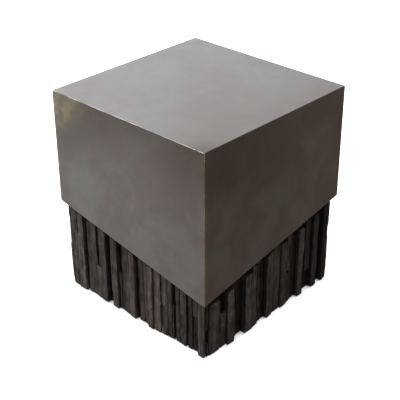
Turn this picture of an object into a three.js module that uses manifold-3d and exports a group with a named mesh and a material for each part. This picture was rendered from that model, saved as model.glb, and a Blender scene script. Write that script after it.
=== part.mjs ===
// A cube side table: a patinated bronze cap with a slanted lower edge, over a plinth clad in
// split-wood staves. It stands on the edges of its inner box, and four levellers inside the plinth
// are wound in. Millimetres, +Z up, -Y is the front, and the origin is the middle of the footprint,
// on the floor.
import * as THREE from "three";
import { mergeVertices } from "three/addons/utils/BufferGeometryUtils.js";
import Module from "manifold-3d";

const wasm = await Module();
wasm.setup();

// ---- driving dimensions ----
const width = 457.2; // 18 in square
const height = 508; // 20 in
const glueLine = 0.3; // gap kept between bonded pieces
const sheet = 1.2; // bronze sheet
const capBoard = 21.7; // boards that the sheet is bonded to
const coreBoard = 18; // plywood of the inner box
const edgeMiddle = 231.5; // height of the cap's lower edge at the left and right corners
const edgeTilt = 0.1826; // rise of that edge per mm towards -X and towards +Y
const boardLift = 2; // cap boards stop this far above the sheet's edge
const staveFoot = 1.5; // staves clear the floor by this much
const backing = 2; // thin ply that a tile of staves is glued to
const coreTop = 466; // top of the core panels, which stand on the floor
const blockSide = 72; // corner block, square in plan
const blockFoot = 16;
const blockHeight = 40;
const screwAt = 120; // cap screws, from the middle
const turnSides = 24; // sides of a turned piece

// ---- worked out from those ----
const half = width / 2;
const sheetInside = half - sheet;
const boardOutside = sheetInside - glueLine;
const boardInside = boardOutside - capBoard;
const coreOutside = boardInside - glueLine;
const coreInside = coreOutside - coreBoard;
const capBoardTop = height - sheet - glueLine;
const capBoardUnder = capBoardTop - capBoard;
const deckUnder = coreTop + glueLine;
const deckTop = deckUnder + coreBoard;
const tileBack = coreOutside + glueLine;
const blockOutside = coreInside - glueLine;
const levellerAt = blockOutside - blockSide / 2;

const edgeHeight = (x, y) => edgeMiddle + edgeTilt * (y - x);

// ---- materials ----
const finish = (color, roughness, metalness) =>
  new THREE.MeshStandardMaterial({ color, roughness, metalness });
const bronze = finish(0x6f6862, 0.4, 1);
const fibreboard = finish(0x2b2724, 0.8, 0);
const plywood = finish(0x1d1a18, 0.8, 0);
const darkWood = finish(0x3a3430, 0.75, 0);
const zincSteel = finish(0xa9abad, 0.35, 1);
const nylon = finish(0x151515, 0.6, 0);

// ---- shape helpers ----
const table = new THREE.Group();

function add(name, geometry, material, x = 0, y = 0, z = 0, turn = 0) {
  const mesh = new THREE.Mesh(geometry, material);
  mesh.name = name;
  mesh.position.set(x, y, z);
  mesh.rotation.z = turn;
  table.add(mesh);
  return mesh;
}

function box(x0, x1, y0, y1, z0, z1) {
  const g = new THREE.BoxGeometry(x1 - x0, y1 - y0, z1 - z0);
  return g.translate((x0 + x1) / 2, (y0 + y1) / 2, (z0 + z1) / 2);
}

function prism(points, z0, z1, holes = []) {
  const shape = new THREE.Shape(points.map(([x, y]) => new THREE.Vector2(x, y)));
  for (const [x, y, r] of holes) {
    shape.holes.push(new THREE.Path().absarc(x, y, r, 0, Math.PI * 2, true));
  }
  const g = new THREE.ExtrudeGeometry(shape, {
    depth: z1 - z0,
    bevelEnabled: false,
    curveSegments: turnSides,
  });
  return g.translate(0, 0, z0);
}

// A turned piece about Z from [radius, height] points, which start and end on the axis or close.
function turned(points) {
  const profile = points.map(([r, z]) => new THREE.Vector2(r, z));
  return new THREE.LatheGeometry(profile, turnSides).rotateX(Math.PI / 2);
}

function solid(geometry) {
  const g = geometry.clone();
  g.deleteAttribute("normal");
  g.deleteAttribute("uv");
  const merged = mergeVertices(g, 1e-4);
  return new wasm.Manifold(
    new wasm.Mesh({
      numProp: 3,
      vertProperties: new Float32Array(merged.attributes.position.array),
      triVerts: new Uint32Array(merged.index.array),
    }),
  );
}

function geometryOf(manifold) {
  const mesh = manifold.getMesh();
  const g = new THREE.BufferGeometry();
  g.setAttribute("position", new THREE.BufferAttribute(mesh.vertProperties, 3));
  g.setIndex(new THREE.BufferAttribute(mesh.triVerts, 1));
  g.computeVertexNormals();
  return g;
}

// Everything below the slanted edge, raised by lift.
function belowEdge(lift) {
  const reach = 1000;
  const normal = new THREE.Vector3(edgeTilt, -edgeTilt, 1).normalize();
  const g = new THREE.BoxGeometry(reach, reach, reach);
  g.translate(0, 0, -reach / 2);
  g.applyQuaternion(new THREE.Quaternion().setFromUnitVectors(new THREE.Vector3(0, 0, 1), normal));
  return solid(g.translate(0, 0, edgeMiddle + lift));
}

const trimToEdge = (geometry, lift) => geometryOf(solid(geometry).subtract(belowEdge(lift)));

// ---- bronze cap: a top sheet and four mitred side sheets ----
add("cap_top_sheet", box(-half, half, -half, half, height - sheet, height), bronze);

function sideSheet(name, turn) {
  const seam = glueLine / 2;
  const outer = half - seam;
  const inner = sheetInside - seam;
  const plan = [
    [-outer, -half],
    [outer, -half],
    [inner, -sheetInside],
    [-inner, -sheetInside],
  ];
  const g = prism(plan, 0, height - sheet - glueLine).rotateZ(turn);
  add(name, trimToEdge(g, 0), bronze);
}

const quarter = Math.PI / 2;
sideSheet("cap_front_sheet", 0);
sideSheet("cap_right_sheet", quarter);
sideSheet("cap_back_sheet", 2 * quarter);
sideSheet("cap_left_sheet", 3 * quarter);

// ---- boards that the sheet is bonded to ----
const screwSpots = [
  ["front_right", screwAt, -screwAt],
  ["back_right", screwAt, screwAt],
  ["back_left", -screwAt, screwAt],
  ["front_left", -screwAt, -screwAt],
];
const screwHole = 2.8;

function capTopBoard() {
  const reach = boardOutside;
  const pilotDepth = 19;
  let board = solid(box(-reach, reach, -reach, reach, capBoardUnder, capBoardTop));
  for (const [, x, y] of screwSpots) {
    const pilot = new THREE.CylinderGeometry(screwHole, screwHole, 2 * pilotDepth, turnSides);
    board = board.subtract(solid(pilot.rotateX(quarter).translate(x, y, capBoardUnder)));
  }
  return geometryOf(board);
}

add("cap_top_board", capTopBoard(), fibreboard);

function capSideBoard(name, x0, x1, y0, y1) {
  const g = box(x0, x1, y0, y1, 0, capBoardUnder - glueLine);
  add(name, trimToEdge(g, boardLift), fibreboard);
}

const boardEnd = boardInside - glueLine;
capSideBoard("cap_front_board", -boardOutside, boardOutside, -boardOutside, -boardInside);
capSideBoard("cap_back_board", -boardOutside, boardOutside, boardInside, boardOutside);
capSideBoard("cap_right_board", boardInside, boardOutside, -boardEnd, boardEnd);
capSideBoard("cap_left_board", -boardOutside, -boardInside, -boardEnd, boardEnd);

// ---- inner box that carries the cap and the staves ----
const sideEnd = coreInside - glueLine;
function corePanel(name, x0, x1, y0, y1) {
  add(name, box(x0, x1, y0, y1, 0, coreTop), plywood);
}

corePanel("core_front_panel", -coreOutside, coreOutside, -coreOutside, -coreInside);
corePanel("core_back_panel", -coreOutside, coreOutside, coreInside, coreOutside);
corePanel("core_right_panel", coreInside, coreOutside, -sideEnd, sideEnd);
corePanel("core_left_panel", -coreOutside, -coreInside, -sideEnd, sideEnd);

const square = (r) => [
  [-r, -r],
  [r, -r],
  [r, r],
  [-r, r],
];
const deckHoles = screwSpots.map(([, x, y]) => [x, y, screwHole]);
add("core_deck", prism(square(coreOutside), deckUnder, deckTop, deckHoles), plywood);

// ---- screws up through the deck into the cap ----
function capScrew() {
  const shank = 2.4;
  const head = 5.5;
  const headHeight = 3.2;
  const point = 4;
  const tip = 35;
  return turned([
    [0, -headHeight],
    [head - 1.5, -headHeight],
    [head, -headHeight + 1.4],
    [head, 0],
    [shank, 0],
    [shank, tip - point],
    [0, tip],
  ]);
}

for (const [corner, x, y] of screwSpots) {
  add("cap_screw_" + corner, capScrew(), zincSteel, x, y, deckUnder - glueLine);
}

// ---- levellers: a nylon foot that a threaded stem turns in, in a flanged insert ----
const stemRadius = 5;
const insertFlange = 2;
const footUnder = 1.5; // clear of the floor while the leveller is wound in
const footTop = footUnder + 8;
const socketFloor = footUnder + 2.5;

function cornerBlock() {
  const hole = 7;
  return prism(square(blockSide / 2), blockFoot, blockFoot + blockHeight, [[0, 0, hole]]);
}

function threadedInsert() {
  const bore = stemRadius + 0.2;
  const flange = 14;
  const barrel = 6.5;
  const barrelLength = 18;
  const top = blockFoot - glueLine;
  return turned([
    [bore, top - insertFlange],
    [flange, top - insertFlange],
    [flange, top],
    [barrel, top],
    [barrel, top + barrelLength],
    [bore, top + barrelLength],
    [bore, top - insertFlange],
  ]);
}

function levellerStem() {
  const top = 72;
  const chamfer = 1.2;
  const collar = 9; // across the corners of the wrench hexagon, from the axis
  const collarFoot = footTop + glueLine;
  const collarHeight = 3;
  const rod = turned([
    [0, socketFloor + glueLine],
    [stemRadius, socketFloor + glueLine],
    [stemRadius, top - chamfer],
    [stemRadius - chamfer, top],
    [0, top],
  ]);
  const hexagon = new THREE.CylinderGeometry(collar, collar, collarHeight, 6);
  hexagon.rotateX(quarter).translate(0, 0, collarFoot + collarHeight / 2);
  return geometryOf(solid(rod).add(solid(hexagon)));
}

function levellerFoot() {
  const radius = 20;
  const edge = 1.5;
  const socket = stemRadius + 0.4;
  return turned([
    [0, footUnder],
    [radius - edge, footUnder],
    [radius, footUnder + edge],
    [radius, footTop - edge],
    [radius - edge, footTop],
    [socket, footTop],
    [socket, socketFloor],
    [0, socketFloor],
  ]);
}

const cornerSigns = [
  ["front_right", 1, -1],
  ["back_right", 1, 1],
  ["back_left", -1, 1],
  ["front_left", -1, -1],
];
for (const [corner, sx, sy] of cornerSigns) {
  const x = sx * levellerAt;
  const y = sy * levellerAt;
  add("corner_block_" + corner, cornerBlock(), plywood, x, y);
  add("threaded_insert_" + corner, threadedInsert(), zincSteel, x, y);
  add("leveller_stem_" + corner, levellerStem(), zincSteel, x, y);
  add("leveller_foot_" + corner, levellerFoot(), nylon, x, y);
}

// ---- staves ----
// A strip is [from, to, inset] along a face, and optionally [..., bottom, top] where it is
// butt-jointed part way up. inset is how far its face lies behind the cap's face.
// The long rows run past the corners and cover the ends of the short rows.
const longRow = [
  [-218, -200, 13],
  [-200, -189, 15.5],
  [-189, -166, 8],
  [-157, -133, 15],
  [-133, -118, 11, staveFoot, 93],
  [-133, -118, 19, 93],
  [-118, -107, 12],
  [-107, -90, 8],
  [-74, -53, 5.5],
  [-53, -44, 14, staveFoot, 105],
  [-44, -16, 12.5],
  [-16, 1, 6],
  [10, 30, 14],
  [30, 46, 13],
  [46, 63, 6.5],
  [64, 85, 10.5],
  [86, 105, 12],
  [105, 118, 12.8],
  [118, 125, 13.5, staveFoot, 97],
  [131, 145, 17.5],
  [145, 161, 13.8],
  [165, 183, 15],
  [183, 197, 17, staveFoot, 93],
  [183, 197, 13, 93],
  [197, 218, 9],
];
const shortRow = [
  [-204.5, -190, 9],
  [-190, -169, 4.5],
  [-168, -149, 10, staveFoot, 93],
  [-149, -126, 3.5],
  [-126, -110, 15],
  [-110, -92, 18],
  [-91, -62, 4],
  [-62, -48, 8],
  [-48, -42, 10, staveFoot, 92],
  [-42, -28, 14],
  [-28, -15, 15.5],
  [-15, 11, 7],
  [11, 38, 11.5],
  [38, 61, 9],
  [61, 71, 12, staveFoot, 86],
  [61, 71, 11, 92],
  [71, 86, 14],
  [86, 101, 17.5],
  [101, 121, 8],
  [131, 151, 13, 58],
  [155, 176, 8.5],
  [193, 204.5, 8],
];
const longBreaks = [-218, -118, -44, 30, 105, 165, 218];
const shortBreaks = [-204.5, -126, -62, 11, 71, 131, 204.5];
const longDrops = [6, 9, 5, 10, 7, 12, 8]; // how far below the cap's edge the staves stop, in turn
const shortDrops = [12, 17, 9, 20, 14, 11, 18, 13];

// One tile: the strips between two breaks, on their backing, facing -Y and then turned into place.
function staveTile(name, row, drops, from, to, turn) {
  const spin = new THREE.Matrix4().makeRotationZ(turn);
  const capEdgeAt = (along) => {
    const p = new THREE.Vector3(along, -half, 0).applyMatrix4(spin);
    return edgeHeight(p.x, p.y);
  };
  const bite = 0.2; // strips run this far into their neighbours, so that the tile is one solid
  const end = glueLine / 2;
  const faceY = -tileBack - backing;
  const lowest = Math.min(capEdgeAt(from), capEdgeAt(to));
  const backTop = lowest - Math.max(...drops);
  const backFrom = Math.max(from + end, -coreOutside);
  const backTo = Math.min(to - end, coreOutside);
  let tile = solid(box(backFrom, backTo, faceY, -tileBack, staveFoot, backTop));
  row.forEach(([x0, x1, inset, bottom = staveFoot, top], index) => {
    if (x0 < from || x1 > to) return;
    const drop = drops[index % drops.length];
    const crown = Math.min(top ?? Infinity, Math.min(capEdgeAt(x0), capEdgeAt(x1)) - drop);
    const left = x0 === from ? x0 + end : x0 - bite;
    const right = x1 === to ? x1 - end : x1 + bite;
    const strip = box(left, right, inset - half, faceY + bite, bottom, crown);
    tile = tile.add(solid(strip));
  });
  add(name, geometryOf(tile).rotateZ(turn), darkWood);
}

function staveSide(side, row, drops, breaks, turn) {
  for (let i = 0; i + 1 < breaks.length; i += 1) {
    staveTile(`staves_${side}_${i + 1}`, row, drops, breaks[i], breaks[i + 1], turn);
  }
}

staveSide("front", longRow, longDrops, longBreaks, 0);
staveSide("right", shortRow, shortDrops, shortBreaks, quarter);
staveSide("back", longRow, longDrops, longBreaks, 2 * quarter);
staveSide("left", shortRow, shortDrops, shortBreaks, 3 * quarter);

export default table;
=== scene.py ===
import math

import bpy
import numpy as np
from mathutils import Matrix, Vector


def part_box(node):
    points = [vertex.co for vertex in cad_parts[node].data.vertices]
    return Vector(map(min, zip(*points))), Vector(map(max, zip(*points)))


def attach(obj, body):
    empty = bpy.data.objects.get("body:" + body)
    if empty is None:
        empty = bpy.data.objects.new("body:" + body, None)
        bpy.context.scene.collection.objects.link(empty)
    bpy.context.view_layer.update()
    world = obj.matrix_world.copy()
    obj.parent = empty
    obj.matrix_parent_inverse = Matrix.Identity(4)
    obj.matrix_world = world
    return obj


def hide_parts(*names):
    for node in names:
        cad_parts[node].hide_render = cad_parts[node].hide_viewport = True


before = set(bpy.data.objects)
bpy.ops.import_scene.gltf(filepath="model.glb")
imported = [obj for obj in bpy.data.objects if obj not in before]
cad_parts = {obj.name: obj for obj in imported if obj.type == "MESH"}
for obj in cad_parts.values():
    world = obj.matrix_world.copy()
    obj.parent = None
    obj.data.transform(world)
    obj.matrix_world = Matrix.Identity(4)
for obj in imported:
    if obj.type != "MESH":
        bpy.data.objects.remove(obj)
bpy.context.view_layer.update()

mm = 0.001
scene = bpy.context.scene
quarterTurns = {"front": 0, "right": 1, "back": 2, "left": 3}
corners = ["front_right", "back_right", "back_left", "front_left"]


def boxMm(node):
    low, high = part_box(node)
    return np.array(low) / mm, np.array(high) / mm


# the table's own sizes in millimetres, read from the frame
half = boxMm("cap_top_sheet")[1][0]
tableTop = boxMm("cap_top_sheet")[1][2]
sheetThick = tableTop - boxMm("cap_top_sheet")[0][2]
edgeMiddle = boxMm("cap_left_sheet")[0][2]
edgeTilt = (edgeMiddle - boxMm("cap_front_sheet")[0][2]) / (2 * half)
glueLine = 0.3
tileBack = -boxMm("core_front_panel")[0][1] + glueLine


def edgeHeight(x, y):
    # the cap's lower edge lies in one tilted plane, rising towards -X and towards +Y
    return edgeMiddle + edgeTilt * (y - x)


cameraSettings = {
    "azimuth": 43.4,
    "elevation": 28.77,
    "roll": -0.24,
    "distance": 2.243,
    "lens": 86.7,
    "shift": (0.0010, -0.0279),
}


def makeCamera(settings):
    azimuth, elevation = math.radians(settings["azimuth"]), math.radians(settings["elevation"])
    back = Vector((
        math.sin(azimuth) * math.cos(elevation),
        -math.cos(azimuth) * math.cos(elevation),
        math.sin(elevation),
    ))
    target = Vector((0, 0, tableTop * mm / 2))
    roll = Matrix.Rotation(math.radians(settings["roll"]), 3, "Z")
    turn = back.to_track_quat("Z", "Y").to_matrix() @ roll
    data = bpy.data.cameras.new("studioCamera")
    data.lens = settings["lens"]
    data.shift_x, data.shift_y = settings["shift"]
    camera = bpy.data.objects.new("studioCamera", data)
    camera.matrix_world = Matrix.Translation(target + back * settings["distance"]) @ turn.to_4x4()
    scene.collection.objects.link(camera)
    scene.camera = camera


def linear(hexColour):
    # sRGB hex to the linear values a shader takes
    channels = np.array([int(hexColour[i:i + 2], 16) for i in (1, 3, 5)]) / 255
    low = channels / 12.92
    high = ((channels + 0.055) / 1.055) ** 2.4
    return (*np.where(channels <= 0.04045, low, high).tolist(), 1.0)


def addNode(tree, kind, settings=None, values=None, links=None, output=0):
    # settings are the node's own fields, values its unlinked inputs, links what feeds the others
    node = tree.nodes.new(kind)
    for name, value in (settings or {}).items():
        setattr(node, name, value)
    for socket, value in (values or {}).items():
        node.inputs[socket].default_value = value
    for socket, source in (links or {}).items():
        tree.links.new(source, node.inputs[socket])
    return node.outputs[output] if node.outputs else None


smoothStep = {"interpolation_type": "SMOOTHSTEP"}
colourMix = {"data_type": "RGBA"}
multiply = {"operation": "MULTIPLY"}


def newMaterial(name, values, pattern=None):
    # pattern lays a material's own nodes and says which of the shader's inputs they feed
    material = bpy.data.materials.new(name)
    material.use_nodes = True
    tree = material.node_tree
    tree.nodes.clear()
    links = pattern(tree) if pattern else None
    shader = addNode(tree, "ShaderNodeBsdfPrincipled", None, values, links)
    addNode(tree, "ShaderNodeOutputMaterial", None, None, {"Surface": shader})
    return material


studio = {
    "towardsLight": (-0.80, -0.10, 0.60),
    "dimMirror": 0.31,
    "brightMirror": 3.85,
    "mirrorFalloff": 3.4,
    "horizonDip": 0.80,
    "horizonFrom": 0.15,
    "horizonTo": 0.55,
    "dimRoom": 1.8,
    "brightRoom": 1.7,
    "roomFalloff": 2.5,
    "coolLight": "#f2f7ff",
    "warmLight": "#ffe0c8",
    "floorRadius": 30,
    "floorSides": 64,
    "floorColour": "#fafaf8",
}


def makeStudio(settings):
    world = bpy.data.worlds.new("studioWorld")
    scene.world = world
    world.use_nodes = True
    tree = world.node_tree
    tree.nodes.clear()
    # share = (1 + cos(angle to the light)) / 2, and a wall of light is
    # dim + bright * share ^ falloff
    direction = addNode(tree, "ShaderNodeTexCoord", output="Generated")
    towards = Vector(settings["towardsLight"]).normalized()
    facing = addNode(
        tree, "ShaderNodeVectorMath", {"operation": "DOT_PRODUCT"}, {1: towards}, {0: direction},
        "Value")
    share = addNode(tree, "ShaderNodeMapRange", None, {1: -1, 2: 1}, {0: facing})
    walls = []
    for dim, bright, falloff in (
        ("dimMirror", "brightMirror", "mirrorFalloff"),
        ("dimRoom", "brightRoom", "roomFalloff"),
    ):
        curve = addNode(
            tree, "ShaderNodeMath", {"operation": "POWER"}, {1: settings[falloff]}, {0: share})
        walls.append(addNode(
            tree, "ShaderNodeMath", {"operation": "MULTIPLY_ADD"},
            {1: settings[bright], 2: settings[dim]}, {0: curve}))
    mirrored, spreadOut = walls
    # what the metal mirrors is the wall of light, with the room's dark line along the horizon
    upright = addNode(tree, "ShaderNodeSeparateXYZ", None, None, {0: direction}, "Z")
    height = addNode(tree, "ShaderNodeMath", {"operation": "ABSOLUTE"}, None, {0: upright})
    dip = addNode(
        tree, "ShaderNodeMapRange", smoothStep,
        {1: settings["horizonFrom"], 2: settings["horizonTo"], 3: settings["horizonDip"], 4: 1.0},
        {0: height})
    mirrored = addNode(tree, "ShaderNodeMath", multiply, None, {0: mirrored, 1: dip})
    # what lights the floor and the wood is the same light spread through a diffusing tent
    ray = addNode(tree, "ShaderNodeLightPath", output="Is Glossy Ray")
    strength = addNode(tree, "ShaderNodeMix", None, None, {0: ray, 2: spreadOut, 3: mirrored})
    warmth = addNode(
        tree, "ShaderNodeMix", colourMix,
        {6: linear(settings["warmLight"]), 7: linear(settings["coolLight"])}, {0: share}, 2)
    tint = addNode(tree, "ShaderNodeMix", colourMix, {6: linear("#ffffff")}, {0: ray, 7: warmth}, 2)
    sky = addNode(tree, "ShaderNodeBackground", None, None, {"Color": tint, "Strength": strength})
    addNode(tree, "ShaderNodeOutputWorld", None, None, {"Surface": sky})

    radius, sides = settings["floorRadius"], settings["floorSides"]
    angles = np.linspace(0, 2 * math.pi, sides, endpoint=False)
    ring = np.stack([radius * np.cos(angles), radius * np.sin(angles), np.zeros(sides)], -1)
    mesh = bpy.data.meshes.new("floor")
    mesh.from_pydata(ring.tolist(), [], [list(range(sides))])
    floor = bpy.data.objects.new("floor", mesh)
    scene.collection.objects.link(floor)
    floor.visible_glossy = False
    paint = {"Base Color": linear(settings["floorColour"]), "Roughness": 0.9}
    mesh.materials.append(newMaterial("paintedFloor", paint))


makeCamera(cameraSettings)
makeStudio(studio)
scene.view_settings.view_transform = "Standard"
print("camera, floor and light made")


# every surface is a grid of points worked out as one array
def gridQuads(rows, columns, closed=False):
    row = np.arange(rows - 1)[:, None] * columns
    column = np.arange(columns if closed else columns - 1)
    after = (column + 1) % columns
    quads = [row + column, row + after, row + columns + after, row + columns + column]
    return np.stack(quads, -1).reshape(-1, 4)


def tube(points):
    # rows of closed rings from the bottom up, with quads that zip across the ring at each end
    rows, columns = points.shape[:2]
    k = np.arange(columns // 2 - 1)
    across = np.stack([k, k + 1, columns - 2 - k, columns - 1 - k], -1)
    quads = [gridQuads(rows, columns, True), across[:, ::-1], across + (rows - 1) * columns]
    return points.reshape(-1, 3), np.concatenate(quads)


def slab(outer, inner):
    # two grids of the same size, joined all round
    rows, columns = outer.shape[:2]
    index = np.arange(rows * columns).reshape(rows, columns)
    ring = np.concatenate([index[0, :-1], index[:-1, -1], index[-1, :0:-1], index[:0:-1, 0]])
    after = np.roll(ring, -1)
    count = rows * columns
    front = gridQuads(rows, columns)
    rim = np.stack([after, ring, ring + count, after + count], -1)
    points = np.concatenate([outer.reshape(-1, 3), inner.reshape(-1, 3)])
    return points, np.concatenate([front, front[:, ::-1] + count, rim])


def outward(points, quads):
    # the signed volume of a closed shell is positive when its faces point out
    a, b, c, d = (points[quads[:, k]] for k in range(4))
    volume = (a * (np.cross(b, c) + np.cross(c, d))).sum()
    return quads if volume > 0 else quads[:, ::-1]


def makePiece(name, shells, material, replaced, body="root", attributes=None, sharp=35):
    points, quads, start = [], [], 0
    for shellPoints, shellQuads in shells:
        points.append(shellPoints)
        quads.append(outward(shellPoints, shellQuads) + start)
        start += len(shellPoints)
    points, quads = np.concatenate(points), np.concatenate(quads)
    mesh = bpy.data.meshes.new(name)
    mesh.vertices.add(len(points))
    mesh.vertices.foreach_set("co", (points * mm).astype(np.float32).ravel())
    mesh.loops.add(quads.size)
    mesh.loops.foreach_set("vertex_index", quads.astype(np.int32).ravel())
    mesh.polygons.add(len(quads))
    mesh.polygons.foreach_set("loop_start", np.arange(0, quads.size, 4, dtype=np.int32))
    mesh.polygons.foreach_set("use_smooth", np.ones(len(quads), bool))
    mesh.update(calc_edges=True)
    for attribute, values in (attributes or {}).items():
        layer = mesh.attributes.new(attribute, "FLOAT", "POINT")
        layer.data.foreach_set("value", values.astype(np.float32))
    mesh.set_sharp_from_angle(angle=math.radians(sharp))
    mesh.materials.append(material)
    piece = bpy.data.objects.new(name, mesh)
    scene.collection.objects.link(piece)
    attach(piece, body)
    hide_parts(*replaced)


def grainNoise(seed, a, b):
    # smooth noise from -1 to 1: random values on a lattice of unit cells, blended across each cell;
    # a number that a caller adds to a or b only moves the pattern to its own part of the lattice
    cells = 128
    lattice = np.random.default_rng(seed).uniform(-1, 1, (cells, cells))
    i, j = np.floor(a).astype(int), np.floor(b).astype(int)
    u, v = a - i, b - j
    u, v = u * u * (3 - 2 * u), v * v * (3 - 2 * v)
    i0, i1, j0, j1 = i % cells, (i + 1) % cells, j % cells, (j + 1) % cells
    near = lattice[i0, j0] * (1 - u) + lattice[i1, j0] * u
    far = lattice[i0, j1] * (1 - u) + lattice[i1, j1] * u
    return near * (1 - v) + far * v


def turned(points, turns):
    # quarter turns about the upright axis, from the front side to the side that a piece is on
    angle = turns * math.pi / 2
    cos, sin = round(math.cos(angle)), round(math.sin(angle))
    x, y, z = points[..., 0], points[..., 1], points[..., 2]
    return np.stack([cos * x - sin * y, sin * x + cos * y, z], -1)


# clouds are as wide as a few strokes of the rubbing pad, mottle as wide as the acid brush, and the
# wax's speckle of about half a millimetre is drawn at 5 mm so that it shows
bronzeLook = {
    "skin": "#6f716e",
    "skinWarm": "#6a6765",
    # the tarnish brown also serves as painted shade
    "tarnishAndShade": "#453a31",
    "olive": "#948d6a",
    "bare": "#cfc6b4",
    "cloud": 115 * mm,
    "mottle": 30 * mm,
    "speckle": 5 * mm,
    "rubbed": (0.94, 1.06),
    "waxed": (0.98, 1.02),
    "wornEdge": (0.45, 1.0),
    "roughness": (0.37, 0.45),
    "relief": 0.02 * mm,
}


def bronzePattern(tree):
    look = bronzeLook
    place = addNode(tree, "ShaderNodeTexCoord", output="Object")
    clouds, mottle, speckle = (
        addNode(
            tree, "ShaderNodeTexNoise", None,
            {"Scale": 1 / look[size], "Detail": detail, "Roughness": rough, "Distortion": bend},
            {"Vector": place})
        for size, detail, rough, bend in (
            ("cloud", 3, 0.55, 0.7), ("mottle", 4, 0.6, 0.3), ("speckle", 3, 0.6, 0.0))
    )
    bloom, tarnishAndShade, distance = (
        addNode(tree, "ShaderNodeAttribute", {"attribute_name": name}, output="Fac")
        for name in ("bloom", "tarnishAndShade", "edgeDistance")
    )
    cloudy = addNode(tree, "ShaderNodeMapRange", smoothStep, {1: 0.38, 2: 0.62}, {0: clouds})
    skin = addNode(
        tree, "ShaderNodeMix", colourMix,
        {6: linear(look["skinWarm"]), 7: linear(look["skin"])}, {0: cloudy}, 2)
    # tarnish, in part painted shade, and olive bloom lie where the vertex values say, with edges
    # broken by the mottle
    broken = addNode(
        tree, "ShaderNodeMapRange", smoothStep, {1: 0.2, 2: 0.8, 3: 0.8, 4: 1.15}, {0: mottle})
    share = addNode(tree, "ShaderNodeMath", multiply, None, {0: tarnishAndShade, 1: broken})
    tarnishedAndShaded = addNode(
        tree, "ShaderNodeMix", colourMix, {7: linear(look["tarnishAndShade"])}, {0: share, 6: skin}, 2)
    broken = addNode(
        tree, "ShaderNodeMapRange", smoothStep, {1: 0.35, 2: 0.6, 3: 0.25, 4: 1.0}, {0: mottle})
    share = addNode(tree, "ShaderNodeMath", multiply, None, {0: bloom, 1: broken})
    bloomed = addNode(
        tree, "ShaderNodeMix", colourMix, {7: linear(look["olive"])}, {0: share, 6: tarnishedAndShaded}, 2)
    # rubbing left the mottle and the speckle a few per cent lighter and darker
    rubbed, waxed = (
        addNode(
            tree, "ShaderNodeMapRange", smoothStep,
            {1: 0.25, 2: 0.75, 3: look[name][0], 4: look[name][1]}, {0: pattern})
        for name, pattern in (("rubbed", mottle), ("waxed", speckle))
    )
    fine = addNode(tree, "ShaderNodeMath", multiply, None, {0: rubbed, 1: waxed})
    patina = addNode(
        tree, "ShaderNodeVectorMath", {"operation": "SCALE"}, None, {0: bloomed, "Scale": fine})
    # bare metal on the last millimetre of each edge
    thin, wide = look["wornEdge"]
    reach = addNode(
        tree, "ShaderNodeMapRange", smoothStep, {1: 0.35, 2: 0.65, 3: thin, 4: wide}, {0: mottle})
    worn = addNode(
        tree, "ShaderNodeMapRange", smoothStep, {1: 0.0, 3: 1.0, 4: 0.0}, {0: distance, 2: reach})
    colour = addNode(
        tree, "ShaderNodeMix", colourMix, {7: linear(look["bare"])}, {0: worn, 6: patina}, 2)
    satin, dull = look["roughness"]
    rough = addNode(
        tree, "ShaderNodeMapRange", smoothStep, {1: 0.3, 2: 0.7, 3: satin, 4: dull}, {0: clouds})
    normal = addNode(
        tree, "ShaderNodeBump", None, {"Strength": 0.2, "Distance": look["relief"]},
        {"Height": speckle})
    return {"Base Color": colour, "Roughness": rough, "Normal": normal}


# Bronze sheet, browned with acid, rubbed back by hand and waxed: a cloudy satin skin that mirrors
# nothing sharply and is bright only where an edge has rubbed bare.
patinatedBronze = newMaterial("patinatedBronze", {"Metallic": 1.0}, bronzePattern)

# oak's pores are about 0.3 mm wide, too fine to show, so the fibres are drawn at 1.3 mm; the bands
# are year rings met at a slant, and the blotches are as wide as the stain's brush marks
woodLook = {
    "dark": "#17110f",
    "mid": "#2f2723",
    "midCool": "#2a2623",
    "pale": "#575049",
    "paintedShade": "#060302",
    "fibre": 1.3 * mm,
    "band": 6 * mm,
    "blotch": 22 * mm,
    "draw": 0.04,
    "jump": (3.1, 5.7, 1.3),
    "roughness": (0.6, 0.82),
    "relief": 0.4 * mm,
}


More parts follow.
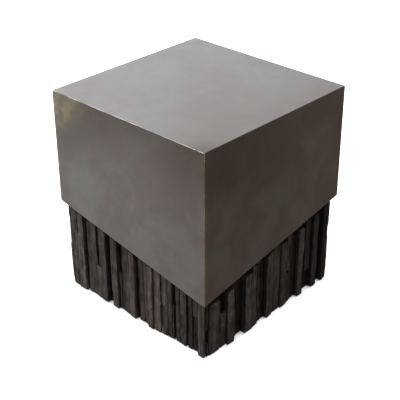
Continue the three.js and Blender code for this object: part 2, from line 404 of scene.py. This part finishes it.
def splitWoodPattern(tree):
    look = woodLook
    place = addNode(tree, "ShaderNodeTexCoord", output="Object")
    tone, paintedShade = (
        addNode(tree, "ShaderNodeAttribute", {"attribute_name": name}, output="Fac")
        for name in ("tone", "paintedShade")
    )
    # each stave takes its grain from another place in the same block of noise
    jump = addNode(
        tree, "ShaderNodeVectorMath", {"operation": "SCALE"}, {0: look["jump"]}, {"Scale": tone})
    moved = addNode(tree, "ShaderNodeVectorMath", {"operation": "ADD"}, None, {0: place, 1: jump})
    drawn = addNode(
        tree, "ShaderNodeMapping", None, {"Scale": (1, 1, look["draw"])}, {"Vector": moved})
    fibres, bands, blotch = (
        addNode(
            tree, "ShaderNodeTexNoise", None,
            {"Scale": 1 / look[size], "Detail": detail, "Roughness": rough, "Distortion": bend},
            {"Vector": vector})
        for size, vector, detail, rough, bend in (
            ("fibre", drawn, 3, 0.6, 0.0), ("band", drawn, 3, 0.55, 0.4),
            ("blotch", moved, 5, 0.65, 0.0))
    )
    share = addNode(tree, "ShaderNodeMapRange", smoothStep, {1: 0.4, 2: 0.6}, {0: blotch})
    mid = addNode(
        tree, "ShaderNodeMix", colourMix,
        {6: linear(look["mid"]), 7: linear(look["midCool"])}, {0: share}, 2)
    share = addNode(tree, "ShaderNodeMapRange", smoothStep, {1: 0.34, 2: 0.62}, {0: bands})
    base = addNode(
        tree, "ShaderNodeMix", colourMix, {6: linear(look["dark"])}, {0: share, 7: mid}, 2)
    standing = addNode(
        tree, "ShaderNodeMapRange", smoothStep, {1: 0.5, 2: 0.75, 4: 0.75}, {0: fibres})
    brushed = addNode(
        tree, "ShaderNodeMapRange", smoothStep, {1: 0.35, 2: 0.65, 3: 0.25}, {0: blotch})
    pale = addNode(tree, "ShaderNodeMath", multiply, None, {0: standing, 1: brushed})
    streaked = addNode(
        tree, "ShaderNodeMix", colourMix, {7: linear(look["pale"])}, {0: pale, 6: base}, 2)
    uneven = addNode(
        tree, "ShaderNodeMapRange", smoothStep, {1: 0.3, 2: 0.7, 3: 0.7, 4: 1.3}, {0: blotch})
    factor = addNode(tree, "ShaderNodeMath", multiply, None, {0: tone, 1: uneven})
    toned = addNode(
        tree, "ShaderNodeVectorMath", {"operation": "SCALE"}, None, {0: streaked, "Scale": factor})
    # painted shade: the wood goes near black deep in the grooves, on the staves' sides and close
    # under the cap, where shade falls
    colour = addNode(
        tree, "ShaderNodeMix", colourMix, {7: linear(look["paintedShade"])}, {0: paintedShade, 6: toned}, 2)
    matt, chalky = look["roughness"]
    rough = addNode(
        tree, "ShaderNodeMapRange", smoothStep, {1: 0.3, 2: 0.7, 3: matt, 4: chalky}, {0: bands})
    normal = addNode(
        tree, "ShaderNodeBump", None, {"Strength": 0.7, "Distance": look["relief"]},
        {"Height": fibres})
    return {"Base Color": colour, "Roughness": rough, "Normal": normal}


# Oak split with the grain, wire brushed and stained charcoal: matt, with painted shade that makes
# it near black in the hollows, and pale fibres standing along the grain.
splitOak = newMaterial("splitOak", {"IOR": 1.5, "Specular IOR Level": 0.16}, splitWoodPattern)


def grainPattern(look):
    # one noise between two close colours, and the same noise as relief or roughness if it has any
    def lay(tree):
        vector = addNode(tree, "ShaderNodeTexCoord", output="Object")
        if "draw" in look:
            vector = addNode(
                tree, "ShaderNodeMapping", None, {"Scale": (1, 1, look["draw"])},
                {"Vector": vector})
        noise = {"Scale": 1 / look["grain"], "Detail": look["detail"], "Roughness": look["broken"]}
        grain = addNode(tree, "ShaderNodeTexNoise", None, noise, {"Vector": vector})
        shades = {6: linear(look["dark"]), 7: linear(look["light"])}
        inputs = {"Base Color": addNode(tree, "ShaderNodeMix", colourMix, shades, {0: grain}, 2)}
        if "relief" in look:
            relief = {"Strength": look["strength"], "Distance": look["relief"]}
            inputs["Normal"] = addNode(tree, "ShaderNodeBump", None, relief, {"Height": grain})
        if "roughness" in look:
            low, high = look["roughness"]
            inputs["Roughness"] = addNode(
                tree, "ShaderNodeMapRange", None, {3: low, 4: high}, {0: grain})
        return inputs
    return lay


# Medium-density fibreboard stained black: a dead flat, faintly fluffy surface. Its fluff is finer
# than half a millimetre and is drawn at 1.5 mm so that it shows.
boardLook = {
    "dark": "#211d1b", "light": "#322c28", "grain": 1.5 * mm, "detail": 2, "broken": 0.6,
    "strength": 0.4, "relief": 0.1 * mm,
}
fibreboard = newMaterial(
    "stainedFibreboard", {"Roughness": 0.85, "IOR": 1.5}, grainPattern(boardLook))

# Birch plywood painted matt black: the face veneer's grain, about 3 mm from line to line, shows
# only as faint relief.
plywoodLook = {
    "dark": "#151210", "light": "#26211e", "grain": 3 * mm, "draw": 0.05, "detail": 3,
    "broken": 0.6, "strength": 0.3, "relief": 0.1 * mm,
}
blackPlywood = newMaterial(
    "paintedPlywood", {"Roughness": 0.7, "IOR": 1.5}, grainPattern(plywoodLook))

# Steel, bright zinc plated: cool grey with a soft shine, uneven over patches of about 2 mm.
zincLook = {
    "dark": "#a3a6a8", "light": "#c3c6c8", "grain": 2 * mm, "detail": 2, "broken": 0.5,
    "roughness": (0.25, 0.45),
}
zincSteel = newMaterial("zincSteel", {"Metallic": 1.0}, grainPattern(zincLook))

# Nylon, injection moulded with a spark-eroded grain: black with a low, waxy shine. The grain is
# about 0.1 mm and is drawn at 0.6 mm so that it shows.
nylonLook = {
    "dark": "#111111", "light": "#1b1b1b", "grain": 0.6 * mm, "detail": 1, "broken": 0.5,
    "strength": 0.2, "relief": 0.05 * mm,
}
blackNylon = newMaterial("mouldedNylon", {"Roughness": 0.5, "IOR": 1.53}, grainPattern(nylonLook))
print("materials made")


capSettings = {
    "edgeRadius": 1.2,
    "lipRadius": 0.5,
    "arcSteps": 5,
    "firstStep": 0.4,
    "stepGrowth": 1.35,
    "widestStep": 8,
    "nominalHeight": 1000,
    "waviness": 0.12,
    "waveLength": 140,
    "waveFade": 60,
    "seam": 0.08,
    "cornerWear": 2.0,
    "cornerReach": 2.5,
    "spared": 1.0,
    "sparedWidth": 3,
    "innerFace": 3,
    "mitreBloom": 0.9,
    "mitreWear": 0.7,
    "mitreReach": 2.4,
}
# where each sheet's patina has bloomed olive or tarnished brown: centre, reach and strength, which
# is below nothing where it is paler than the rest. The brown is in part painted shade: the top
# sheet darkens towards +X, and the front sheet along its top and towards +X
patinaPlaces = {
    "cap_top_sheet": {
        "bloom": [((-215, -215, 508), 35, 0.12)],
        "tarnishAndShade": [
            ((260, -260, 508), 150, 0.42), ((270, 0, 508), 160, 0.2), ((250, 230, 508), 120, 0.22),
            ((60, -80, 508), 110, 0.1), ((-20, 60, 508), 70, 0.08), ((0, 0, 508), 400, 0.06),
            ((-225, -205, 508), 90, 0.12), ((220, -220, 508), 38, 0.3),
        ],
    },
    "cap_front_sheet": {
        "bloom": [
            ((-210, -229, 458), 30, 0.62), ((-222, -229, 505), 34, 0.2),
            ((-165, -229, 500), 32, 0.4),
        ],
        "tarnishAndShade": [
            ((-70, -229, 530), 95, 0.5), ((50, -229, 540), 85, 0.42), ((215, -229, 525), 120, 0.68),
            ((-205, -229, 405), 60, 0.38), ((-130, -229, 450), 70, 0.3),
            ((160, -229, 430), 60, 0.08), ((-40, -229, 240), 90, -0.08),
            ((205, -229, 330), 90, 0.1), ((-215, -229, 250), 40, 0.05),
            ((-120, -229, 300), 150, -0.08), ((-208, -229, 492), 22, 0.22),
        ],
    },
    "cap_right_sheet": {
        "bloom": [((229, -140, 330), 70, 0.12)],
        "tarnishAndShade": [
            ((229, -150, 520), 120, 0.36), ((229, -200, 420), 80, 0.15),
            ((229, -20, 430), 80, 0.12), ((229, -90, 340), 200, 0.15),
        ],
    },
    "cap_back_sheet": {
        "bloom": [((212, 229, 470), 36, 0.3), ((-60, 229, 512), 50, 0.15)],
        "tarnishAndShade": [
            ((-60, 229, 530), 120, 0.45), ((170, 229, 510), 90, 0.35), ((40, 229, 380), 90, 0.1),
        ],
    },
    "cap_left_sheet": {
        "bloom": [((-229, 214, 480), 34, 0.35), ((-229, -217, 500), 30, 0.3)],
        "tarnishAndShade": [
            ((-229, -60, 530), 110, 0.45), ((-229, 190, 520), 100, 0.3), ((-229, 0, 380), 80, 0.1),
            ((-229, 120, 420), 70, 0.1),
        ],
    },
}
evenTarnish = 0.08


def gradedLine(length, settings):
    # offsets from 0 to length, close together at both ends and growing towards the middle
    steps = []
    step = settings["firstStep"]
    while sum(steps) < length / 2:
        steps.append(step)
        step = min(step * settings["stepGrowth"], settings["widestStep"])
    offsets = np.concatenate([[0], np.cumsum(steps)])
    offsets *= length / 2 / offsets[-1]
    return np.concatenate([offsets, length - offsets[-2::-1]])


def spots(points, places):
    # the sum of soft spots: strength * exp(-(distance / reach)^2)
    total = np.zeros(points.shape[:-1])
    for centre, reach, strength in places:
        squared = ((points - np.array(centre)) ** 2).sum(-1)
        total += strength * np.exp(-squared / reach ** 2)
    return total


def sheetGrid(settings, lengthAlong, across):
    # lines across one face: the flat part, and the tangents of the arc over each mitred edge
    radius = settings["edgeRadius"]
    tangents = np.tan(np.linspace(0, math.pi / 4, settings["arcSteps"] + 1))[1:]
    flat = gradedLine(lengthAlong - 2 * radius, settings)
    base = np.concatenate([
        np.zeros(len(tangents)), flat, np.full(len(tangents), flat[-1])]) + radius
    lean = np.concatenate([-tangents[::-1], np.zeros(len(flat)), tangents])
    if not across:
        base, lean = base[len(tangents):], lean[len(tangents):]
    return base, lean


def capSheet(name, turns, lid=False):
    settings = capSettings
    radius = settings["edgeRadius"]
    u, uLean = sheetGrid(settings, 2 * half, True)
    u = u - half
    if lid:
        v, vLean = sheetGrid(settings, 2 * half, True)
        v = np.broadcast_to(v - half, (len(u), len(v)))
        drop = np.zeros_like(vLean)
        shift = np.zeros_like(vLean)
    else:
        # from the lip on the slanted lower edge to the mitred top edge, as shares of one height
        nominal = settings["nominalHeight"]
        v, vLean = sheetGrid(settings, nominal, False)
        lip = np.linspace(math.pi / 2, 0, settings["arcSteps"], endpoint=False)
        share = (v - radius) / (nominal - 2 * radius)
        share = np.concatenate([np.zeros(len(lip)), share])
        vLean = np.concatenate([np.zeros(len(lip)), vLean])
        drop = np.zeros_like(share)
        shift = np.zeros_like(share)
        drop[:len(lip)] = settings["lipRadius"] * (1 - np.cos(lip))
        shift[:len(lip)] = settings["lipRadius"] * (1 - np.sin(lip))
        ends = turned(np.stack([u, np.full_like(u, -half), u * 0], -1), turns)
        foot = edgeHeight(ends[:, 0], ends[:, 1])
        v = foot[:, None] + (tableTop - radius - foot[:, None]) * share
        shift[len(lip):] = settings["lipRadius"] * (1 - share[len(lip):])
    # a rounded box face: flat place + radius * the unit vector along (lean across, lean up, 1)
    lean = np.stack(np.broadcast_arrays(uLean[:, None], vLean[None, :], 1.0), -1)
    unit = lean / np.linalg.norm(lean, axis=-1, keepdims=True)
    # a mitre lies where the lean is 1, and its two sheets keep a seam's width apart
    onMitre = np.maximum(np.abs(uLean)[:, None], np.abs(vLean)[None, :]) > 0.999
    reach = radius - settings["seam"] * onMitre
    across = u[:, None] + reach * unit[..., 0]
    up = v + shift + reach * unit[..., 1]
    out = reach * unit[..., 2] - radius - drop
    # rolled sheet is never quite flat: long low waves that die out at the edges
    fromEdge = half - np.abs(v) if lid else tableTop - v
    fade = np.clip((half - np.abs(u[:, None])) / settings["waveFade"], 0, 1)
    fade = fade * np.clip(fromEdge / settings["waveFade"], 0, 1)
    seed = 11 + turns + 10 * lid
    length = settings["waveLength"]
    wave = grainNoise(seed, (across + 400) / length, (up + 400) / length)
    out = out - settings["waviness"] * (1 + wave) / 2 * fade
    inAcross = np.clip(across, -half + sheetThick, half - sheetThick)
    if lid:
        outer = np.stack([across, up, tableTop + out], -1)
        inUp = np.clip(up, -half + sheetThick, half - sheetThick)
        inner = np.stack([inAcross, inUp, tableTop - sheetThick + out * 0], -1)
        distance = np.minimum(half - np.abs(across), half - np.abs(up))
    else:
        outer = turned(np.stack([across, -half - out, up], -1), turns)
        inUp = np.minimum(up, tableTop - sheetThick)
        inner = turned(np.stack([inAcross, -half + sheetThick + out * 0, inUp], -1), turns)
        distance = np.minimum(half - np.abs(across), tableTop - up)
    points, quads = slab(outer, inner)
    # the four upper corners have rubbed barer than the edges between them
    fromCorner = np.linalg.norm(np.abs(outer) - np.array([half, half, tableTop]), axis=-1)
    distance = distance - settings["cornerWear"] * np.exp(-fromCorner / settings["cornerReach"])
    # the top edge on the +X side has kept its patina
    width = settings["sparedWidth"]
    onEdge = (half - outer[..., 0] < width) & (tableTop - outer[..., 2] < width)
    distance = distance + settings["spared"] * onEdge
    # a line of olive has crept out of each upright mitre, and its corner has rubbed a little barer
    mitre = np.zeros_like(distance) if lid else np.exp(-(half + across) / settings["mitreReach"])
    distance = distance - settings["mitreWear"] * mitre
    crept = settings["mitreBloom"] * np.tile(mitre.ravel(), 2)
    attributes = {
        "edgeDistance": np.concatenate([
            distance.ravel(), distance.ravel() + settings["innerFace"]]),
        "bloom": np.clip(spots(points, patinaPlaces[name]["bloom"]) + crept, 0, 1),
        "tarnishAndShade": np.clip(evenTarnish + spots(points, patinaPlaces[name]["tarnishAndShade"]), 0, 1),
    }
    makePiece(
        name + "_skin", [(points, quads)], patinatedBronze, [name],
        attributes=attributes)


capSheet("cap_top_sheet", 0, lid=True)
for side, turns in quarterTurns.items():
    capSheet("cap_" + side + "_sheet", turns)
print("cap made")


staveSettings = {
    "facePoints": 26,
    "cornerPoints": 5,
    "sidePoints": 3,
    "stations": 60,
    "endSteps": 4,
    "cornerRadius": 1.4,
    "cornerShare": 0.4,
    "endRadius": 2.2,
    "gap": 0.3,
    "crown": 0.5,
    "fibreDepth": 0.22,
    "fibreWidth": 1.6,
    "fibreLength": 45,
    "rippleDepth": 0.5,
    "rippleWidth": 8,
    "rippleLength": 110,
    "flakeDepth": 1.3,
    "flakeWidth": 8,
    "flakeLength": 34,
    "flakeShare": (0.12, 0.3),
    "edgeBite": 1.3,
    "biteLength": 9,
    "biteShare": (0.05, 0.6),
    "gluedDepth": 1.5,
    "wander": 2.0,
    "wanderLength": 90,
    "sway": 0.35,
    "swayLength": 60,
    "bow": 0.6,
    "bowLength": 130,
    "endJag": 1.6,
    "jagWidth": 3,
    "askew": 0.14,
    # the next six set painted shade: on the staves' sides, from one depth to another in the grooves
    # and its share there, and how far below the cap and how dark the painted shadow under it
    # reaches
    "staveSideShade": 0.6,
    "shadeFromDepth": 8.2,
    "shadeToDepth": 19,
    "grooveShade": 0.95,
    "capShadow": 11,
    "capShade": 0.85,
    "backingLines": (12, 8),
}
# painted light and shade: the wood on each side is made lighter or darker as the light falls on it,
# lightest on the front and darkest on the right
sideLightAndShade = {"front": 1.3, "right": 0.52, "back": 0.78, "left": 1.1}
footGap = boxMm("staves_front_1")[0][2]
backingThick = 2
backInset = half - tileBack - backingThick


def stave(
    start, stop, inset, lastInset=None, foot=footGap, crown=None, back=backInset, tone=1, drop=None,
):
    # from start to stop along the side, with its face an inset behind the cap's face at each edge;
    # it ends at the height of crown, or a drop below the cap's lower edge
    insets = (inset, inset if lastInset is None else lastInset)
    heights = {"foot": foot, "crown": crown, "drop": drop}
    return {"x": (start, stop), "inset": insets, "back": back, "tone": tone, **heights}


# the six tiles of the front and back, then of the right and left: a short length stands on or hangs
# over another, or leaves a hollow
longTiles = [
    [
        stave(-218, -190, 10, 9.5, drop=1.5), stave(-190, -166, 8.5, 7.5),
        stave(-160, -127, 13, 12.5), stave(-127.5, -121, 19, foot=93),
    ],
    [
        stave(-127.5, -110, 10.5, crown=93), stave(-121, -110, 12.5, foot=93),
        stave(-110, -90, 9, 8), stave(-74, -52, 8, 7.5),
    ],
    [
        stave(-52, -44, 14, crown=105), stave(-44, -16, 14, 10.5), stave(-16, 5, 9.5, 7.5),
        stave(11, 30, 14),
    ],
    [stave(30, 46, 13, 12), stave(46, 63, 8, 7), stave(64, 85, 10.5), stave(86, 105, 12)],
    [
        stave(105, 118, 12.8), stave(118, 124, 13.5, crown=97), stave(128, 142, 14.5),
        stave(142, 161, 14, 13.5),
    ],
    [
        stave(165, 179, 15), stave(179, 195, 17.5, crown=93), stave(179, 195, 14.5, foot=93),
        stave(199, 217.6, 9.5, 9, back=14, drop=2),
    ],
]
# the tones given here are in part painted light and shade: the proud staves are made lighter, and
# the sunken ones and the last of the row darker
shortTiles = [
    [
        stave(-211.4, -203.5, 13, 12.5, foot=68, tone=1.2, drop=2),
        stave(-211.4, -203.5, 10, crown=37, tone=1.2),
        stave(-203, -169.5, 8.5, 7.5, tone=1.5, drop=18), stave(-168, -149, 10, crown=93, tone=0.8),
        stave(-149, -126, 4.5, 3.5, tone=1.3, drop=19),
    ],
    [
        stave(-126, -110, 14.5, 15.5, tone=0.8), stave(-110, -92, 17.5, 18, tone=0.8),
        stave(-91, -62, 4, 5, tone=1.2, drop=20),
    ],
    [
        stave(-62, -48, 8, tone=1.1), stave(-48, -42, 10, crown=92),
        stave(-42, -28, 13.5, 14.5, tone=0.8), stave(-28, -15, 15.5, tone=0.7),
        stave(-15, 11, 6, 8, drop=15),
    ],
    [
        stave(11, 38, 10.5, 12.5), stave(38, 61, 9), stave(61, 71, 12, crown=86),
        stave(61, 71, 11, foot=92),
    ],
    [
        stave(71, 86, 13, 15, tone=0.75), stave(86, 101, 16.5, 18, tone=0.65),
        stave(101, 121, 8.5, 7.5, tone=1.1, drop=20),
    ],
    [
        stave(131, 151, 13, foot=58, tone=0.65, drop=17), stave(155, 176, 8.5, tone=0.62, drop=15),
        stave(193, 204.5, 8, tone=0.35, drop=1.5),
    ],
]
longDrops = [6, 9, 5, 10, 7, 12, 8]
shortDrops = [12, 14, 9, 20, 14, 11, 18, 13]


def smooth(value, low, high):
    # from 0 at low to 1 at high, level at both ends: 3 share^2 - 2 share^3
    share = np.clip((value - low) / (high - low), 0, 1)
    return share * share * (3 - 2 * share)


def staveShell(settings, seed, place, crown):
    rng = np.random.default_rng(seed)
    x0, x1 = place["x"][0] + settings["gap"], place["x"][1] - settings["gap"]
    back, foot = place["back"], place["foot"]
    radius = min(settings["cornerRadius"], (x1 - x0) * settings["cornerShare"])
    middle = (x0 + x1) / 2
    # the section goes up the left side, round a corner, along the face, round a corner and back
    arc = np.linspace(0, math.pi / 2, settings["cornerPoints"])
    faceX = np.linspace(x0 + radius, x1 - radius, settings["facePoints"] + 2)[1:-1]
    sides = np.linspace(0, 1, settings["sidePoints"], endpoint=False)
    none, flat = np.zeros(len(sides)), np.zeros(len(faceX))
    cos, sin = np.cos(arc), np.sin(arc)
    x = np.concatenate([
        none + x0, x0 + radius * (1 - cos), faceX, x1 - radius * (1 - cos[::-1]), none + x1])
    depth = np.concatenate([none, radius * (1 - sin), flat, radius * (1 - sin[::-1]), none])
    outX = np.concatenate([none - 1, -cos, flat, cos[::-1], none + 1])
    outY = np.concatenate([none, -sin, flat - 1, -sin[::-1], none])
    inset = np.interp(x, (x0, x1), place["inset"])
    y = inset + depth
    y[:len(sides)] = back + (y[len(sides)] - back) * sides
    y[-len(sides):] = (back + (y[-len(sides) - 1] - back) * sides)[::-1]
    # millimetres round the section, so that the grain wraps over the corners
    run = np.concatenate([[0], np.cumsum(np.hypot(np.diff(x), np.diff(y)))]) + 500

    # stations from foot to crown, with both ends rounded over and the crown sawn a little askew
    steps = np.linspace(0, math.pi / 2, settings["endSteps"])
    rise = (settings["endRadius"] * (1 - np.cos(steps)))[:, None]
    shrink = settings["endRadius"] * (1 - np.sin(steps))
    jag = settings["endJag"] * grainNoise(
        seed + 7, x / settings["jagWidth"] + 300, x * 0 + rng.uniform(0, 50))
    askew = rng.uniform(-settings["askew"], settings["askew"])
    crownAt = crown + askew * (x - middle) + jag - settings["endJag"]
    share = np.linspace(0, 1, settings["stations"])[1:-1, None]
    low, high = foot + settings["endRadius"], crownAt - settings["endRadius"]
    z = np.concatenate([foot + rise + x * 0, low + (high - low) * share, crownAt - rise[::-1]])
    shrink = np.concatenate([shrink, share[:, 0] * 0, shrink[::-1]])[:, None]

    # ripples, fibre ridges and flakes are drawn out along the grain, and the corners are bitten
    grainAt = run + settings["wander"] * grainNoise(
        seed + 1, z / settings["wanderLength"] + 40, z * 0 + 3.5)
    ripple = settings["rippleDepth"] * grainNoise(
        seed + 2, grainAt / settings["rippleWidth"], z / settings["rippleLength"] + 9)
    fibre = settings["fibreDepth"] * (grainNoise(
        seed + 3, grainAt / settings["fibreWidth"], z / settings["fibreLength"] + 21) - 1)
    flake = settings["flakeDepth"] * smooth(grainNoise(
        seed + 6, grainAt / settings["flakeWidth"], z / settings["flakeLength"] + 31),
        *settings["flakeShare"])
    onCorner = np.clip(1 - np.abs(np.abs(outX) - 0.7) / 0.5, 0, 1)
    bite = settings["edgeBite"] * onCorner * smooth(grainNoise(
        seed + 4, z / settings["biteLength"] + 60, z * 0 + np.sign(x - middle)),
        *settings["biteShare"])
    crowned = settings["crown"] * (1 - ((x - middle) / (x1 - x0) * 2) ** 2) * (outY < -0.5)
    # the whole stave bows in and out and sways from side to side, except where it is glued down
    bow = settings["bow"] * grainNoise(seed + 5, z / settings["bowLength"] + 11, z * 0 + 0.5)
    sway = settings["sway"] * grainNoise(seed + 8, z / settings["swayLength"] + 5, z * 0 + 1.5)
    loose = np.clip((back - settings["gluedDepth"] - y) / 2, 0, 1)
    relief = (ripple + fibre - flake - bite + crowned) * loose - shrink
    px = x + outX * relief + sway * loose
    py = np.minimum(y + outY * relief + bow * loose, back)
    points = np.stack([px, py - half, z], -1)
    # painted shade, darkest deep in the grooves and on the staves' sides
    shadeShare = smooth(py, settings["shadeFromDepth"], settings["shadeToDepth"])
    shadeShare = np.maximum(shadeShare, settings["staveSideShade"] * smooth(np.abs(outX), 0.7, 1))
    return points, shadeShare


def staveTile(name, side, tile, drops, first, seed):
    settings = staveSettings
    turns = quarterTurns[side]
    shells, tones, paintedShades = [], [], []
    for index, place in enumerate(tile):
        ends = turned(np.array([[x, -half, 0.0] for x in place["x"]]), turns)
        drop = place["drop"] or drops[(first + index) % len(drops)]
        crown = edgeHeight(ends[:, 0], ends[:, 1]).min() - drop
        crown = min(crown, place["crown"] or crown)
        points, shadeShare = staveShell(settings, seed + 31 * index, place, crown)
        points = turned(points, turns)
        # painted shadow under the cap's overhang, darkest at the cap's lower edge and fading
        # downwards
        below = edgeHeight(points[..., 0], points[..., 1]) - points[..., 2]
        shaded = settings["capShade"] * np.exp(-np.clip(below, 0, None) / settings["capShadow"])
        shells.append(tube(points))
        # a random tone of the wood times its side's painted light and shade
        randomToneAndSideShade = np.random.default_rng(seed + index).uniform(0.8, 1.2) * sideLightAndShade[side]
        tones.append(np.full(shadeShare.size, randomToneAndSideShade * place["tone"]))
        paintedShades.append((1 - (1 - settings["grooveShade"] * shadeShare) * (1 - shaded)).ravel())
    # the thin ply behind the tile, up to just below its lowest full stave
    low, high = turned(np.stack(boxMm(name)), -turns)
    left, right = max(min(low[0], high[0]), -tileBack), min(max(low[0], high[0]), tileBack)
    tops = [shell[0][:, 2].max() for shell, place in zip(shells, tile) if not place["crown"]]
    wide, tall = settings["backingLines"]
    across, up = np.meshgrid(
        np.linspace(left, right, wide), np.linspace(footGap, min(tops) - 2, tall), indexing="ij")
    backing = (-tileBack - backingThick, -tileBack)
    faces = [np.stack([across, np.full_like(across, y), up], -1) for y in backing]
    shells.append(slab(*(turned(face, turns) for face in faces)))
    # the backing takes the painted shade's near black all over
    tones.append(np.zeros(2 * across.size))
    paintedShades.append(np.ones(2 * across.size))
    attributes = {"tone": np.concatenate(tones), "paintedShade": np.concatenate(paintedShades)}
    makePiece(
        name + "_split", shells, splitOak, [name], attributes=attributes, sharp=50)


for side, turns in quarterTurns.items():
    tiles, drops = (longTiles, longDrops) if side in ("front", "back") else (shortTiles, shortDrops)
    first = 0
    for number, tile in enumerate(tiles, 1):
        seed = 1000 * (turns + 1) + 100 * number
        staveTile(f"staves_{side}_{number}", side, tile, drops, first, seed)
        first += len(tile)
print("staves made")


stemSettings = {
    "columns": 36,
    "crest": 5.0,
    "nose": 0.8,
    "threadDepth": 0.9,
    "flankSlope": 1.6,
    "crestShare": 0.3,
    "pitch": 1.5,
    "stepsPerTurn": 6,
    "collarFrom": 9.8,
    "collarTo": 12.8,
    "collarReach": 9.0,
    "collarChamfer": 0.6,
    "threadFrom": 14.2,
    "tipChamfer": 1.2,
}


def stemShell(settings, low, high):
    # a turned pin, a hexagonal collar and a thread, as one radius over angle and height:
    # the thread's radius is crest - depth * a flattened triangle wave of (height / pitch - turns)
    crest, bottom, top = settings["crest"], low[2], high[2]
    start, stop = settings["collarFrom"], settings["collarTo"]
    chamfer = settings["collarChamfer"]
    nose, step = settings["nose"], 0.01
    pin = np.array([bottom, bottom + 0.3, bottom + nose, start - step])
    collar = np.array([start, start + chamfer, stop - chamfer, stop])
    rows = round((top - settings["threadFrom"]) / settings["pitch"] * settings["stepsPerTurn"])
    thread = np.linspace(settings["threadFrom"], top, rows)
    z = np.concatenate([pin, collar, [stop + step], thread])[:, None]
    angle = np.linspace(0, 2 * math.pi, settings["columns"], endpoint=False)[None, :]
    pinRadius = crest - nose * np.clip(1 - (z - bottom) / nose, 0, 1) ** 2
    # a hexagon's edge lies at its flat's distance over the cosine of the angle from the flat's
    # middle, and it has a corner on the X axis when it reaches its full width there
    flat = settings["collarReach"] * math.cos(math.pi / 6)
    turn = 0 if (high - low)[0] > 2 * flat + 1 else math.pi / 6
    hexagon = flat / np.cos((angle + turn) % (math.pi / 3) - math.pi / 6)
    bevel = np.clip(chamfer - np.minimum(z - start, stop - z), 0, None) * 1.5
    collarRadius = np.minimum(hexagon, settings["collarReach"] - bevel)
    wave = np.abs(2 * ((z / settings["pitch"] - angle / (2 * math.pi)) % 1) - 1)
    cut = np.clip(wave * settings["flankSlope"] - settings["crestShare"], 0, 1)
    groove = settings["threadDepth"] * cut
    runOut = np.clip((z - settings["threadFrom"]) / settings["pitch"], 0, 1)
    tip = np.clip(settings["tipChamfer"] - (top - z), 0, None)
    threadRadius = np.minimum(crest - groove * runOut, crest - tip)
    radius = np.where(z < start, pinRadius, np.where(z <= stop, collarRadius, threadRadius))
    middle = (low + high) / 2
    x, y = middle[0] + radius * np.cos(angle), middle[1] + radius * np.sin(angle)
    return tube(np.stack([x, y, z + radius * 0], -1))


footSettings = {
    "columns": 96,
    "arcSteps": 4,
    "slopeSteps": 7,
    "edge": 0.9,
    "rimHeight": 3.4,
    "slopePower": 1.8,
    "bossRadius": 9.0,
    "bossEdge": 0.5,
    "socketRadius": 5.4,
    "socketFloor": 4.0,
    "socketEdge": 0.4,
    "gripWidth": 2,
    "grips": 24,
    "gripDepth": 0.5,
}


def footShell(settings, low, high):
    # a profile of radius and height turned about the stem's axis, with shallow grips round the rim
    middle, reach = (low + high) / 2, (high - low)[0] / 2
    bottom, top = low[2], high[2]
    edge, boss, socket = settings["edge"], settings["bossRadius"], settings["socketRadius"]
    bossEdge, socketEdge = settings["bossEdge"], settings["socketEdge"]
    floor = settings["socketFloor"]
    rim = bottom + settings["rimHeight"]
    arc = np.linspace(0, math.pi / 2, settings["arcSteps"])
    slope = np.linspace(0, 1, settings["slopeSteps"])[1:]
    radii = np.concatenate([
        reach - edge + edge * np.sin(arc), reach - edge + edge * np.cos(arc),
        boss + (reach - edge - boss) * (1 - slope),
        boss - bossEdge + bossEdge * np.cos(arc),
        [socket + socketEdge, socket, socket, socket - socketEdge],
    ])
    heights = np.concatenate([
        bottom + edge * (1 - np.cos(arc)), rim - edge + edge * np.sin(arc),
        rim + (top - bossEdge - rim) * slope ** settings["slopePower"],
        top - bossEdge + bossEdge * np.sin(arc),
        [top, top - socketEdge, floor + socketEdge, floor],
    ])
    angle = np.linspace(0, 2 * math.pi, settings["columns"], endpoint=False)[None, :]
    gripped = smooth(radii, reach - settings["gripWidth"], reach - edge)[:, None]
    grips = settings["gripDepth"] * (1 + np.cos(settings["grips"] * angle)) / 2
    radius = radii[:, None] - gripped * grips
    x, y = middle[0] + radius * np.cos(angle), middle[1] + radius * np.sin(angle)
    return tube(np.stack([x, y, heights[:, None] + radius * 0], -1))


for corner in corners:
    stemNode, footNode = "leveller_stem_" + corner, "leveller_foot_" + corner
    makePiece(
        stemNode + "_thread", [stemShell(stemSettings, *boxMm(stemNode))], zincSteel,
        [stemNode], "stem_" + corner)
    makePiece(
        footNode + "_moulding", [footShell(footSettings, *boxMm(footNode))], blackNylon,
        [footNode], "foot_" + corner)
print("levellers made")


# pieces whose frame shape is right, given their finish
finishes = [
    (["cap_top_board"] + ["cap_" + side + "_board" for side in quarterTurns], fibreboard),
    (["core_deck"] + ["core_" + side + "_panel" for side in quarterTurns], blackPlywood),
    (["corner_block_" + corner for corner in corners], blackPlywood),
    (["cap_screw_" + corner for corner in corners], zincSteel),
    (["threaded_insert_" + corner for corner in corners], zincSteel),
]
for names, material in finishes:
    for name in names:
        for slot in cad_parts[name].material_slots:
            slot.material = material
print("frame pieces finished")
